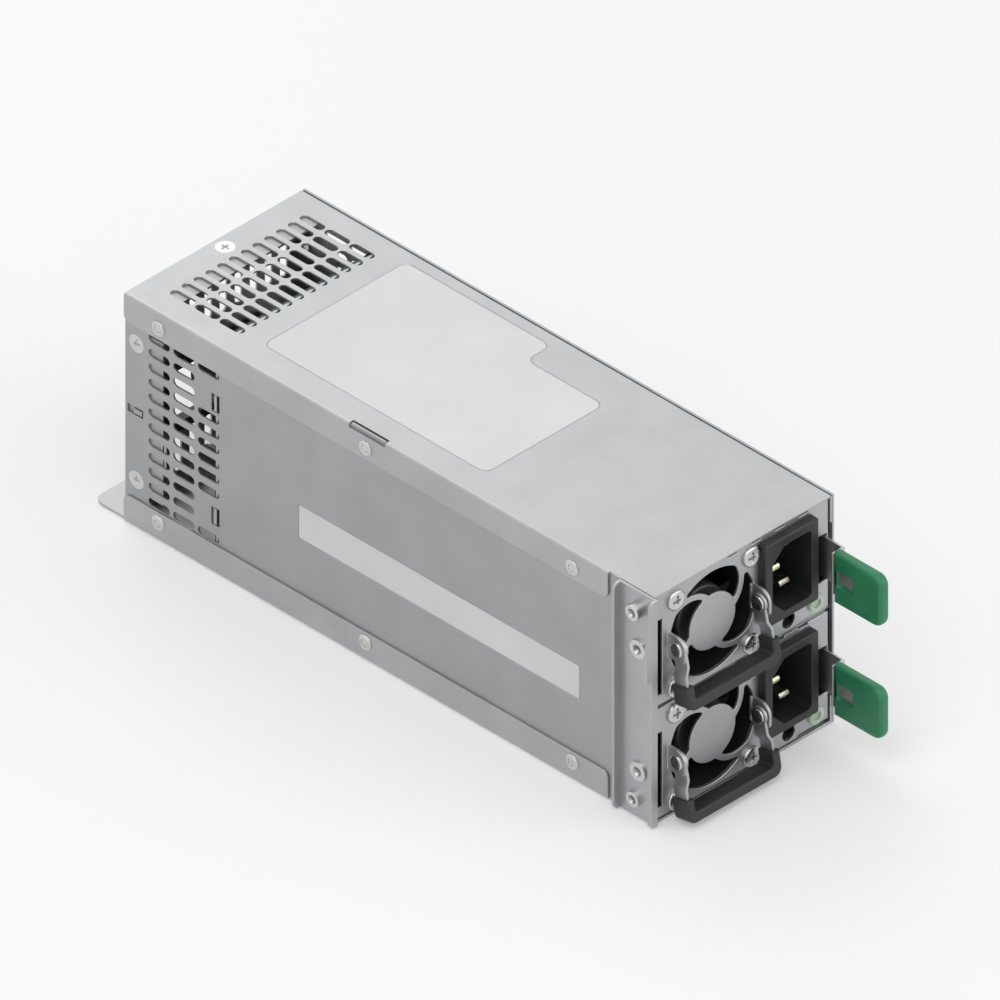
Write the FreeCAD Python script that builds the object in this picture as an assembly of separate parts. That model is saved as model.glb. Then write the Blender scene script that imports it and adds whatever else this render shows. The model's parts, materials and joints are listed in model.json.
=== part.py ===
import FreeCAD, Part
import math
import os

# Redundant server power supply: a sheet steel cage with two hot swap modules, one above the other.
# Millimetres. +X right, +Y to the rear, +Z up. Origin: centre of the cage's underside.

V = FreeCAD.Vector
X, Y, Z = V(1, 0, 0), V(0, 1, 0), V(0, 0, 1)

# Cage
cage_width = 77.0
rear_room = 46.7
bay_height = 40.6
sheet = 0.8
bend_radius = 1.0
flange_height = 10.0
left_flange_start = 19.2
flange_corner = 2.5
rear_tongue = 13.8
tongue_corner = 4.0
tongue_hole_radius = 2.1
tongue_hole_spacing = 40.0
shelf_setback = 1.5
shelf_overhang = 3.5
vent_count = 12
vent_width = 3.0
vent_setbacks = (14.3, 24.8, 35.3)
top_vent_pitch = 5.0
top_vent_length = 9.5
side_vent_pitch = 5.47
side_vent_length = 9.0
label_depth = 0.25
label_corner = 3.5
cover_label_start = 81.3
cover_label_step = 114.3
cover_label_end = 176.3
cover_label_left = 10.5
cover_label_right = 5.5
cover_label_notch = 16.0
wall_label_start = 31.7
wall_label_end = 151.4
wall_label_drop = 12.1
wall_label_rise = 0.7
rivet_radius = 2.75
rivet_height = 0.7
rivet_shank = 1.1
rivet_tail = 0.2
rivet_front = 34.3
rivet_middle = 122.1
rivet_rear = 14.7
rivet_rise = 6.3
rivet_drop = 5.9
flat_head_radius = 3.2
flat_head_depth = 0.7
flat_shank = 1.5
hole_gap = 0.1
screw_inset = 4.7
screw_offset = 25.0
rear_flange = 15.2
flange_gap = 2.0
outlet_width = 44.0
outlet_height = 22.0
outlet_corner = 5.0
outlet_drop = 6.0
bushing_wall = 1.4
bushing_lip = 2.0
edge_slot_length = 15.4
edge_slot_width = 2.2
edge_slot_depth = 1.7
edge_slot_place = 121.5

# Side bracket
bracket_sheet = 1.0
bracket_front = 1.5
bracket_rear = 14.5
bracket_margin = 0.3
rib_reach = 2.8
rib_corner = 2.4
nose_reach = 2.5
hook_reach = 4.0
foot_reach = 2.0
hook_drop = 16.0
hook_height = 13.5
nose_corner = 2.2
foot_hem = 0.7
boss_radius = 2.75
boss_hole = 1.5
boss_lengths = (3.6, 1.5)
boss_setbacks = (5.3, 7.2)
boss_drop = 6.3
boss_rise = 6.8
nut_radius = 3.35
nut_hole = 1.65
nut_height = 1.0
nut_setback = 5.5
nut_drop = 21.1
nut_rise = 17.6
collar_shank = 0.35

# Module
side_gap = 0.5
slide_gap = 0.2
module_sheet = 0.6
module_length = 178.0
face_recess = 0.5
face_sheet = 1.0
fan_x = -12.6
fan_drop = 0.45
fan_room = 2.6
fan_depth = 28.0
fan_corner = 3.0
fan_wall = 0.8
fan_screw_margin = 3.0
fan_hub = 10.0
fan_blades = 7
blade_gap = 0.6
blade_sheet = 1.0
shaft_radius = 1.5
shaft_gap = 0.05
bearing_wall = 1.6
motor_radius = 10.5
motor_plate = 3.0
strut_width = 2.6
grille_inner = 9.8
spoke_width = 2.0
leaf_round = 0.8
pan_head_radius = 3.5
pan_head_height = 1.3
pan_shank = 1.6
pan_length = 9.0
notch_gap = 2.25
notch_top = 11.5
notch_bottom = 16.0
step_start = 23.0
step_rise = 0.95
view_hole_x = 19.8
view_hole_rise = 3.55
view_hole_radius = 2.65
light_inset = 5.4
light_rise = 4.75
light_radius = 3.1
light_hole = 1.5
light_proud = 1.0

# Bail handle
bail_x = -13.175
ear_clearance = 0.275
ear_sheet = 1.0
ear_reach = 7.36
ear_top = 4.7
ear_bottom = 4.3
pivot_reach = 3.6
pivot_rise = 0.65
pivot_radius = 1.5
pivot_gap = 0.08
pivot_head = 2.6
pivot_head_height = 0.5
bail_sheet = 1.0
bail_side_gap = 0.15
bail_lug = 3.25
bail_tilt = 10.5
neck_back = 2.75
neck_front = 2.75
joggle = 1.35
joggle_start = 6.3
joggle_end = 9.0
grip_back = 2.85
grip_front = 3.9
grip_top = 12.15
grip_bar_top = 16.7
grip_bottom = 20.35
grip_margin = 1.225
grip_leg = 3.1
grip_corner = 3.0
grip_round = 0.9

# Mains inlet
inlet_offset = 11.75
inlet_width = 22.7
inlet_height = 30.2
inlet_drop = 16.95
inlet_proud = 3.2
inlet_round = 0.65
inlet_depth = 20.0
inlet_wall = 1.5
inlet_fit = 0.15
cavity_width = 16.5
cavity_height = 24.0
cavity_depth = 17.0
cavity_chamfer = 5.0
cavity_round = 1.6
pin_width = 4.0
pin_thickness = 2.0
pin_recess = 5.4
pin_tail = 5.0
pin_spacing = 14.0
pin_offset = 4.0

# Latch
latch_sheet = 0.8
latch_gap = 0.2
latch_top = 7.2
latch_bottom = 7.9
latch_margin = 1.0
latch_pivot = 28.0
latch_root = 1.5
latch_reach = 8.1
latch_offset = 5.2
latch_throw = 2.3
catch_place = 6.0
catch_length = 3.0
catch_height = 6.0
catch_reach = 1.0
catch_window = 0.8
tab_length = 20.65
tab_back = 7.55
tab_thickness = 4.0
tab_top = 7.8
tab_bottom = 10.7
tab_corner = 3.6
tab_round = 1.65
tab_hole_place = 12.6
tab_hole_length = 6.9
tab_hole_height = 6.0
tab_hole_drop = 1.0
latch_rivet = 1.2
latch_rivet_head = 2.2
latch_rivet_gap = 0.15
latch_rivet_spacing = 7.0

# Boards and the parts on them
board_thickness = 1.6
board_height = 4.6
board_front = 33.0
board_inset = 3.5
card_width = 40.0
card_gap = 0.3
card_window = 1.5
socket_width = 46.0
socket_height = 9.0
socket_depth = 10.0
backplane_clearance = 8.0
backplane_sheet = 1.0
backplane_spacing = 1.6
backplane_margin = 2.9
spacer_radius = 2.5
spacer_stem = 1.4
tab_slot_width = 3.4
tab_slot_height = 6.5
tab_slot_rises = (19.7, -21.9)
lid_screw_spacing = 50.0
lug_drop = 5.8
lug_height = 10.0
lug_sheet = 1.2
lug_reach = 12.0
output_cans = (-14.8, 18.2)
output_can_radius = 5.0
output_can_length = 14.0
lug_pitch = 6.0
lug_width = 4.0
post_radius = 2.2
post_inset = 7.8
post_front = 40.0
post_rear = 13.0
sink_inset = 10.8
sink_lead = 22.0
sink_setback = 18.0
sink_height = 28.0
sink_sheet = 2.5
sink_depth = 7.0
sink_fins = 5
can_radius = 14.0
can_gap = 14.0
can_start = 42.0
small_can_setback = 26.0
transformer_setback = 60.0
transformer_width = 34.0
transformer_reach = 18.0
choke_start = 56.0

# Places that follow from the sizes above
half_width = cage_width / 2
cage_length = module_length + rear_room
front, rear = -cage_length / 2, cage_length / 2
cage_height = 3 * sheet + 2 * bay_height
middle = cage_height / 2
left_wall_x = -half_width + sheet
inner_half = half_width - 2 * sheet
right_wall_x = half_width - sheet
module_half = inner_half - side_gap
module_inner = module_half - module_sheet
module_height = bay_height - 2 * slide_gap
shelf_length = module_length + shelf_overhang
vent_banks = [cage_length - b for b in vent_setbacks]
rivet_places = (rivet_front, rivet_middle, cage_length - rivet_rear)
tab_slot_places = [middle + rise for rise in tab_slot_rises]
hook_top = cage_height - hook_drop
boss_places = ((boss_setbacks[0], cage_height - boss_drop), (boss_setbacks[1], boss_rise))
nut_places = ((nut_setback, cage_height - nut_drop), (nut_setback, nut_rise))
fan_size = bay_height - fan_room
fan_pitch = fan_size - 2 * fan_screw_margin
fan_bore = fan_size / 2 - fan_wall
grille_outer = fan_bore
ear_span = 2 * (grille_outer + ear_clearance)
grip_outer = ear_span / 2 + grip_margin
inlet_x = fan_x + fan_size / 2 + inlet_offset
fan_rise = module_height / 2 - fan_drop
inlet_rise = module_height - inlet_drop - fan_rise
view_hole_drop = fan_rise - view_hole_rise
light_drop = fan_rise - light_rise
light_x = module_half - light_inset
notch_width = module_half + bail_x - ear_span / 2 - notch_gap
backplane_place = module_length + backplane_clearance
backplane_width = 2 * (inner_half - backplane_margin)
face_front = front + face_recess
face_back = face_front + face_sheet
lower_floor = sheet + slide_gap
upper_floor = lower_floor + bay_height + sheet
board_y = front + backplane_place + backplane_sheet + backplane_spacing
latch_x = module_inner - latch_gap


def block(x0, x1, y0, y1, z0, z1):
    low = V(min(x0, x1), min(y0, y1), min(z0, z1))
    return Part.makeBox(abs(x1 - x0), abs(y1 - y0), abs(z1 - z0), low)


def rod(radius, start, direction, length):
    return Part.makeCylinder(radius, length, start, direction)


def plate_x(points, x0, x1):
    wire = Part.makePolygon([V(x0, y, z) for y, z in points + points[:1]])
    return Part.Face(wire).extrude(X * (x1 - x0))


def plate_y(points, y0, y1):
    wire = Part.makePolygon([V(x, y0, z) for x, z in points + points[:1]])
    return Part.Face(wire).extrude(Y * (y1 - y0))


def straight_edges(shape, axis, chosen):
    found = []
    for edge in shape.Edges:
        if edge.Curve.TypeId != "Part::GeomLine":
            continue
        start, end = edge.Vertexes[0].Point, edge.Vertexes[-1].Point
        if abs((end - start).normalize().dot(axis)) > 0.9999 and chosen((start + end) * 0.5):
            found.append(edge)
    return found


def rounded(shape, radius, axis, chosen=lambda point: True):
    return shape.makeFillet(radius, straight_edges(shape, axis, chosen))


def cut_all(shape, tools):
    return shape.cut(Part.makeCompound(tools))


def fuse_all(shapes):
    return shapes[0].multiFuse(shapes[1:]).removeSplitter()


def slot_tool(centre, along, normal, length, width, depth):
    side = normal.cross(along)
    half, run = width / 2, (length - width) / 2
    a, b = centre + along * run + side * half, centre - along * run + side * half
    c, d = centre - along * run - side * half, centre + along * run - side * half
    wire = Part.Wire([
        Part.makeLine(a, b), Part.Arc(b, centre - along * (run + half), c).toShape(),
        Part.makeLine(c, d), Part.Arc(d, centre + along * (run + half), a).toShape(),
    ])
    return Part.Face(wire).extrude(normal * depth)


def save(name, shapes):
    solids = []
    for shape in shapes if isinstance(shapes, list) else [shapes]:
        solids += shape.Solids
    result = solids[0] if len(solids) == 1 else Part.makeCompound(solids)
    result.exportStep("parts/" + name + ".step")


# Cage sheets

def rivet_points():
    heights = (cage_height - rivet_drop, rivet_rise)
    return [(front + b, z) for b in rivet_places for z in heights]


def rivet_holes(chosen=lambda z: True):
    return [rod(rivet_shank + hole_gap, V(-half_width - 1, y, z), X, cage_width + 2)
            for y, z in rivet_points() if chosen(z)]


def flat_seat(head, outward):
    """Countersink and clearance hole for a flat head screw."""
    cone = Part.makeCone(flat_shank + hole_gap, flat_head_radius, flat_head_depth,
                         head - outward * flat_head_depth, outward)
    return cone.fuse(rod(flat_shank + hole_gap, head - outward * 3, outward, 3))


def side_screw_seats():
    y = rear - screw_inset
    return [flat_seat(V(side * (half_width - (sheet if side < 0 else 0)), y, middle + s * screw_offset), X * side)
            for side in (-1, 1) for s in (-1, 1)]


def bent_sheet(z_plate, z_tip):
    """The tray or the cover: one sheet with its left flange outside the wall, its right flange inside."""
    low, high = min(z_plate, z_tip), max(z_plate, z_tip)
    inward = sheet if z_tip > z_plate else -sheet
    start = front + left_flange_start
    body = block(-half_width, right_wall_x, front, rear, low, high)
    body = rounded(body, bend_radius, Y, lambda p: abs(p.z - z_plate) < 0.01)
    body = cut_all(body, [
        block(left_wall_x, inner_half, front - 1, rear + 1, z_plate + inward, z_tip + inward),
        block(-half_width, left_wall_x, front, start, low, high)])
    tips = straight_edges(body, X, lambda p: abs(p.z - z_tip) < 0.01 and (
        p.y > rear - 0.01 or (p.x < 0 and p.y < start + 0.01)))
    return body.makeFillet(flange_corner, tips)


def top_cover():
    shell = bent_sheet(cage_height, cage_height - flange_height)
    tools = [block(-half_width, -half_width + edge_slot_width,
                   front + edge_slot_place - edge_slot_length / 2, front + edge_slot_place + edge_slot_length / 2,
                   cage_height - edge_slot_depth, cage_height)]
    for b in vent_banks:
        for column in range(vent_count):
            x = (column - (vent_count - 1) / 2) * top_vent_pitch
            tools.append(slot_tool(V(x, front + b, cage_height - sheet), Y, Z, top_vent_length, vent_width, sheet))
    tools.append(flat_seat(V(0, rear - screw_inset, cage_height), Z))
    tools += rivet_holes(lambda z: z > middle)
    return cut_all(shell, tools).cut(top_label())


def top_label():
    y0, y1, y2 = [front + b for b in (cover_label_start, cover_label_step, cover_label_end)]
    x0, x1, x2 = cover_label_left - half_width, half_width - cover_label_notch, half_width - cover_label_right
    low = cage_height - label_depth
    corners = [V(x0, y0, low), V(x1, y0, low), V(x1, y1, low), V(x2, y1, low), V(x2, y2, low), V(x0, y2, low)]
    recess = Part.Face(Part.makePolygon(corners + corners[:1])).extrude(Z)
    return rounded(recess, label_corner, Z)


def bottom_tray():
    tray = bent_sheet(0, flange_height)
    tongue = block(left_wall_x, inner_half, rear - 1, rear + rear_tongue, 0, sheet)
    tray = fuse_all([tray, rounded(tongue, tongue_corner, Z, lambda p: p.y > rear + 1)])
    tools = [rod(tongue_hole_radius, V(s * tongue_hole_spacing / 2, rear + rear_tongue / 2, -1), Z, 3)
             for s in (-1, 1)]
    return cut_all(tray, tools + rivet_holes(lambda z: z < middle))


def catch_box(floor, grow):
    mid = floor + fan_rise + (latch_top - latch_bottom) / 2
    return block(module_inner - 0.1, half_width + 1, face_front + catch_place - grow,
                 face_front + catch_place + catch_length + grow,
                 mid - catch_height / 2 - grow, mid + catch_height / 2 + grow)


def side_wall(side):
    if side < 0:
        inner, outer = -inner_half, left_wall_x
        wall = block(inner, outer, front, rear, sheet, cage_height - sheet)
    else:
        inner, outer = right_wall_x, half_width
        wall = block(inner, outer, front, rear, 0, cage_height)
    tools = side_screw_seats() + rivet_holes()
    for bank, b in enumerate(vent_banks):
        for row in range(vent_count):
            if bank == 2 and row in (1, 2, 9, 10):
                continue
            z = middle + ((vent_count - 1) / 2 - row) * side_vent_pitch
            tools.append(slot_tool(V(inner, front + b, z), Y, X * side, side_vent_length, vent_width, sheet))
    y = front + backplane_place + backplane_sheet / 2
    for z in tab_slot_places:
        tools.append(block(inner, outer, y - tab_slot_width / 2, y + tab_slot_width / 2,
                           z - tab_slot_height / 2, z + tab_slot_height / 2))
    y = rear - screw_inset + 0.5
    tools.append(block(inner, outer, y - 3.35, y + 3.35, middle - 1.5, middle + 1.5))
    if side < 0:
        label = block(outer - 1, outer + label_depth, front + wall_label_start, front + wall_label_end,
                      middle - wall_label_drop, middle + wall_label_rise)
        wall = cut_all(wall, tools).cut(label)
        y, reach = front + edge_slot_place, edge_slot_length / 2 - 0.5
        return fuse_all([wall, block(outer, inner, y - reach, y + reach, cage_height - sheet, cage_height - 0.2)])
    return cut_all(wall, tools + [catch_box(floor, catch_window) for floor in (lower_floor, upper_floor)])


def bay_shelf():
    low = sheet + bay_height
    start = front + shelf_setback
    return block(-inner_half, right_wall_x, start, start + shelf_length, low, low + sheet)


def rear_panel():
    y0, y1 = rear - sheet, rear - rear_flange
    low, high = flange_height + flange_gap, cage_height - flange_height - flange_gap
    parts = [block(-inner_half, inner_half, y0, rear, sheet, cage_height - sheet),
             block(-inner_half, -inner_half + sheet, y1, y0, low, high),
             block(inner_half, right_wall_x, y1, rear, low, high),
             block(-inner_half + 5, inner_half - 5, y1, y0, cage_height - 2 * sheet, cage_height - sheet)]
    y = rear - screw_inset
    for x0, x1 in ((left_wall_x, -inner_half), (right_wall_x, half_width)):
        parts.append(block(x0, x1, y - 2.4, y + 1.2, middle - 0.9, middle + 0.9))
    z = middle - outlet_drop
    hole = block(-outlet_width / 2, outlet_width / 2, y0 - 1, rear + 1, z - outlet_height / 2, z + outlet_height / 2)
    tools = [rounded(hole, outlet_corner, Y)]
    for x in [(i - 4.5) * 6.4 for i in range(10)]:
        for z in (14.5, 63.5):
            tools.append(slot_tool(V(x, y0, z), Z, Y, 14.0, vent_width, sheet))
    hole = flat_shank + hole_gap
    tools += [rod(hole, V(-half_width, y, middle + s * screw_offset), X, cage_width) for s in (-1, 1)]
    tools.append(rod(hole, V(0, y, cage_height - 3), Z, 4))
    return cut_all(fuse_all(parts), tools)


def cable_bushing():
    z = middle - outlet_drop
    w, h = outlet_width / 2, outlet_height / 2

    def ring(grow, y0, y1):
        outer = rounded(block(-w - grow, w + grow, y0, y1, z - h - grow, z + h + grow), outlet_corner + grow, Y)
        hole = block(-w + bushing_wall, w - bushing_wall, y0 - 1, y1 + 1, z - h + bushing_wall, z + h - bushing_wall)
        return outer.cut(rounded(hole, outlet_corner - bushing_wall, Y))

    return fuse_all([ring(0, rear - sheet, rear), ring(bushing_lip, rear, rear + 1.5),
                     ring(bushing_lip, rear - sheet - 1.5, rear - sheet)])


def cage_rivets():
    rivets = []
    for y, z in rivet_points():
        for side in (-1, 1):
            base, outward = V(side * half_width, y, z), X * side
            dome = Part.makeCone(rivet_radius, rivet_radius - 0.7, rivet_height, base, outward)
            reach = 2 * sheet + rivet_tail
            shank = rod(rivet_shank, base - outward * reach, outward, reach)
            rivets.append(dome.fuse(shank).cut(rod(0.8, base + outward * (rivet_height - 0.4), outward, 1)))
    return rivets


def cage_screws():
    y = rear - screw_inset
    places = [(V(0, y, cage_height), Z)]
    places += [(V(side * (half_width - (sheet if side < 0 else 0)), y, middle + s * screw_offset), X * side)
               for side in (-1, 1) for s in (-1, 1)]
    screws = []
    for head, outward in places:
        cone = Part.makeCone(flat_shank, flat_head_radius, flat_head_depth, head - outward * flat_head_depth, outward)
        screws.append(cone.fuse(rod(flat_shank, head - outward * 4.5, outward, 4)))
    return screws


# Side bracket with its hooked front flange

def side_bracket():
    face = left_wall_x - bracket_sheet
    low, high = bracket_margin, cage_height - bracket_margin
    y0, y1 = front - bracket_front, front + bracket_rear
    nose, hook, foot = face - nose_reach, face - hook_reach, face - foot_reach
    hook_low = hook_top - hook_height
    plate = block(face, left_wall_x, y0, y1, low, high)
    rib = block(face - rib_reach, face, y1 - bracket_sheet, y1, low, high)
    rib = rounded(rib, rib_corner, Y, lambda p: p.x < face - 1)
    points = [(face, low), (foot, low), (foot, hook_low), (hook, hook_low), (hook, hook_top),
              (nose, hook_top + 2.5), (nose, high), (face, high)]
    flange = plate_y(points, y0, y0 + bracket_sheet)
    flange = rounded(flange, nose_corner, Y, lambda p: p.x < nose + 0.01 and p.z > high - 0.01)
    flange = rounded(flange, 1.6, Y, lambda p: p.x < foot + 0.01 and (p.z < low + 0.01 or abs(p.z - hook_low) < 0.01
                                                                      and p.x < hook + 0.01))
    hem = block(foot, face, y0 + bracket_sheet, y0 + bracket_sheet + foot_hem, low, hook_low)
    hem = rounded(hem, 1.6, Y, lambda p: p.x < foot + 0.01 and p.z < low + 0.01)
    body = fuse_all([plate, rib, flange, hem])
    tools = [rod(nut_hole + collar_shank, V(face - 1, front + b, z), X, 3) for b, z in nut_places]
    tools += [rod(boss_hole + collar_shank, V(face - 1, front + b, z), X, 3) for b, z in boss_places]
    return cut_all(body, tools)


def collar(b, z, radius, hole, length):
    """A threaded collar pressed into the bracket, its open end outwards."""
    face = left_wall_x - bracket_sheet
    body = rod(radius, V(face - length, front + b, z), X, length)
    body = body.makeChamfer(0.3, [e for e in body.Edges if e.BoundBox.XMax < face - length + 0.01])
    body = body.fuse(rod(hole + collar_shank, V(face, front + b, z), X, bracket_sheet))
    return body.cut(rod(hole, V(face - length - 1, front + b, z), X, length + bracket_sheet + 2))


def bracket_standoffs():
    return [collar(b, z, boss_radius, boss_hole, length) for (b, z), length in zip(boss_places, boss_lengths)]


def bracket_nuts():
    return [collar(b, z, nut_radius, nut_hole, nut_height) for b, z in nut_places]


# Backplane

def card_heights():
    return [floor + board_height + board_thickness / 2 for floor in (lower_floor, upper_floor)]


def backplane_bracket():
    y0 = front + backplane_place
    y1 = y0 + backplane_sheet
    low, high = flange_height + flange_gap, cage_height - flange_height - flange_gap
    parts = [block(-inner_half, inner_half, y0, y1, sheet, cage_height - sheet),
             block(inner_half, right_wall_x, y0, y1, low, high)]
    for z in tab_slot_places:
        parts.append(block(left_wall_x + 0.1, -inner_half, y0, y1, z - 2.9, z + 2.9))
        parts.append(block(right_wall_x, half_width - 0.1, y0, y1, z - 2.9, z + 2.9))
    tools = []
    for z in card_heights():
        half = socket_width / 2 + 0.3
        tools.append(block(-half, half, y0 - 1, y1 + 1, z - socket_height / 2 - 0.3, z + socket_height / 2 + 0.3))
        tools += [slot_tool(V(x, y0, z + 20), X, Y, 12.0, 8.0, backplane_sheet) for x in (-22.5, -7.5, 7.5, 22.5)]
    return cut_all(fuse_all(parts), tools + stem_holes())


def spacer_places():
    x = backplane_width / 2 - 4
    return [(s * x, z) for s in (-1, 1) for z in (16.5, cage_height - 8)]


def stem_holes():
    return [rod(spacer_stem + hole_gap, V(x, board_y - 5, z), Y, 8) for x, z in spacer_places()]


def backplane_board():
    board = block(-backplane_width / 2, backplane_width / 2, board_y, board_y + board_thickness, 3, cage_height - 3)
    return cut_all(board, stem_holes())


def board_spacers():
    y = board_y - backplane_spacing
    spacers = []
    for x, z in spacer_places():
        sleeve = rod(spacer_radius, V(x, y, z), Y, backplane_spacing)
        stem = rod(spacer_stem, V(x, y - backplane_sheet - 0.5, z), Y, 4.8)
        head = Part.makeCone(2.6, 2.0, 1.2, V(x, board_y + board_thickness, z), Y)
        catch = Part.makeCone(1.4, 2.2, 0.8, V(x, y - backplane_sheet - 0.8, z), Y)
        spacers.append(fuse_all([sleeve, stem, head, catch]))
    return spacers


def backplane_connectors():
    sockets = []
    y0 = board_y - socket_depth
    for z in card_heights():
        half = socket_width / 2
        body = block(-half, half, y0, board_y, z - socket_height / 2, z + socket_height / 2)
        half = card_width / 2 + card_gap
        slot = board_thickness / 2 + card_gap
        sockets.append(rounded(body, 0.6, X).cut(block(-half, half, y0 - 1, board_y - 1.0, z - slot, z + slot)))
    return sockets


def can(radius, start, direction, length):
    body = rod(radius, start, direction, length)
    tip = (start + direction * length).dot(direction)
    ends = [e for e in body.Edges if e.CenterOfMass.dot(direction) > tip - 0.01]
    return body.makeFillet(min(1.0, radius / 4), ends)


def backplane_capacitors():
    y = board_y + board_thickness
    return [can(output_can_radius, V(x, y, middle + rise), Y, output_can_length)
            for rise in output_cans for x in (-26.0, -14.0, 14.0, 26.0)]


def output_lugs():
    y = board_y + board_thickness
    low, half = middle - lug_drop, lug_width / 2
    return [fuse_all([block(x - half, x + half, y, y + lug_sheet, low, low + lug_height),
                      block(x - half, x + half, y + lug_sheet, y + lug_reach, low + 4, low + 5)])
            for x in [(i - 2.5) * lug_pitch for i in range(6)]]


# Module shell

def latch_rivet_points(floor):
    mid = floor + fan_rise + (latch_top - latch_bottom) / 2
    return [V(module_inner, front + latch_pivot, mid + s * latch_rivet_spacing / 2) for s in (-1, 1)]


def lid_screw_points(floor):
    return [V(s * lid_screw_spacing / 2, front + module_length, floor + module_height - 4.5) for s in (-1, 1)]


def chassis(floor):
    top = floor + module_height
    end = front + module_length
    shell = block(-module_half, module_half, face_back, end, floor, top)
    shell = rounded(shell, bend_radius, Y, lambda p: p.z < floor + 0.01)
    shell = cut_all(shell, [
        block(-module_inner, module_inner, face_back - 1, end - module_sheet, floor + module_sheet, top + 1),
        block(-module_inner, module_inner, end - 1, end + 1, top - module_sheet, top + 1)])
    posts = [rod(post_radius, V(s * (module_inner - post_inset), y, floor + module_sheet), Z,
                 board_height - module_sheet) for s in (-1, 1) for y in (front + post_front, end - post_rear)]
    shell = fuse_all([shell] + posts)
    card = floor + board_height
    half = card_width / 2 + 1
    tools = [block(-half, half, end - 1, end + 1, card - card_window, card + board_thickness + card_window),
             catch_box(floor, catch_window)]
    for x in [(i - 4.5) * 6.2 for i in range(10)]:
        tools.append(slot_tool(V(x, end - module_sheet, floor + 22), Z, Y, 18.0, 3.6, module_sheet))
    tools += [rod(latch_rivet + hole_gap, p - X, X, 2) for p in latch_rivet_points(floor)]
    tools += [rod(1.3, p - Y * 3, Y, 4) for p in lid_screw_points(floor)]
    return cut_all(shell, tools)


def lid(floor):
    top = floor + module_height
    end = front + module_length - module_sheet
    low = top - module_sheet
    parts = [block(-module_inner, module_inner, face_back, end + module_sheet, low, top),
             block(-30, 30, end - module_sheet, end, low - 7, low)]
    for side in (-1, 1):
        inner = side * (module_inner - module_sheet)
        parts.append(block(inner, side * module_inner, front + 42, end - 3, low - 5, low))
    return cut_all(fuse_all(parts), [rod(1.1, p - Y * 3, Y, 4) for p in lid_screw_points(floor)])


def lid_screws(floor):
    return [rod(2.3, p, Y, 1.2).fuse(rod(1.0, p - Y * 3, Y, 3)) for p in lid_screw_points(floor)]


# Face plate with the swirled fan opening, the handle's ears and the cut-outs

def spoke(centre, hub, radius, first, last, half):
    def point(r, angle):
        return V(centre.x + hub.x + r * math.cos(angle), centre.y, centre.z + hub.z + r * math.sin(angle))

    mid, outer, inner = (first + last) / 2, radius + half, radius - half
    wire = Part.Wire([
        Part.Arc(point(outer, first), point(outer, mid), point(outer, last)).toShape(),
        Part.makeLine(point(outer, last), point(inner, last)),
        Part.Arc(point(inner, last), point(inner, mid), point(inner, first)).toShape(),
        Part.makeLine(point(inner, first), point(outer, first)),
    ])
    return Part.Face(wire).extrude(Y * (face_sheet + 2))


def grille_openings(centre):
    start = V(centre.x, face_front - 1, centre.z)
    ring = rod(grille_outer, start, Y, face_sheet + 2).cut(rod(grille_inner, start, Y, face_sheet + 2))
    polar = [(grille_inner - 1.5, 9.0), (14.2, 31.0), (grille_outer + 1.5, 61.0)]
    p, q, r = [V(d * math.cos(math.radians(a)), 0, d * math.sin(math.radians(a))) for d, a in polar]
    arc = Part.Arc(p, q, r).toShape().Curve
    hub = arc.Center
    angles = [math.atan2(point.z - hub.z, point.x - hub.x) for point in (p, q, r)]
    for i in (1, 2):
        while angles[i] - angles[i - 1] > math.pi:
            angles[i] -= 2 * math.pi
        while angles[i] - angles[i - 1] < -math.pi:
            angles[i] += 2 * math.pi
    first, last = min(angles), max(angles)
    band = spoke(start, hub, arc.Radius, first, last, spoke_width / 2)
    turned = []
    for quarter in range(4):
        copy = band.copy()
        copy.rotate(start, Y, 90 * quarter)
        turned.append(copy)
    leaves = [leaf for leaf in cut_all(ring, turned).Solids if leaf.Volume > 20]
    return [rounded(leaf, leaf_round, Y) for leaf in leaves]


def ear_sides():
    half = ear_span / 2
    return [(bail_x - half, bail_x - half + ear_sheet), (bail_x + half - ear_sheet, bail_x + half)]


def pivot_point(floor):
    return V(0, face_front - pivot_reach, floor + fan_rise + pivot_rise)


def fan_screw_points(floor):
    half = fan_pitch / 2
    centre = floor + fan_rise
    return [V(fan_x + sx * half, face_front, centre + sz * half) for sx in (-1, 1) for sz in (-1, 1)]


def ear(floor, x0, x1):
    pivot = pivot_point(floor)
    y0 = face_front - ear_reach
    lug = block(x0, x1, y0, face_front, pivot.z - ear_bottom, pivot.z + ear_top)
    lug = rounded(lug, 4.4, X, lambda p: p.y < y0 + 0.01 and p.z > pivot.z)
    return rounded(lug, 2.0, X, lambda p: p.y < y0 + 0.01 and p.z < pivot.z)


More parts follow.
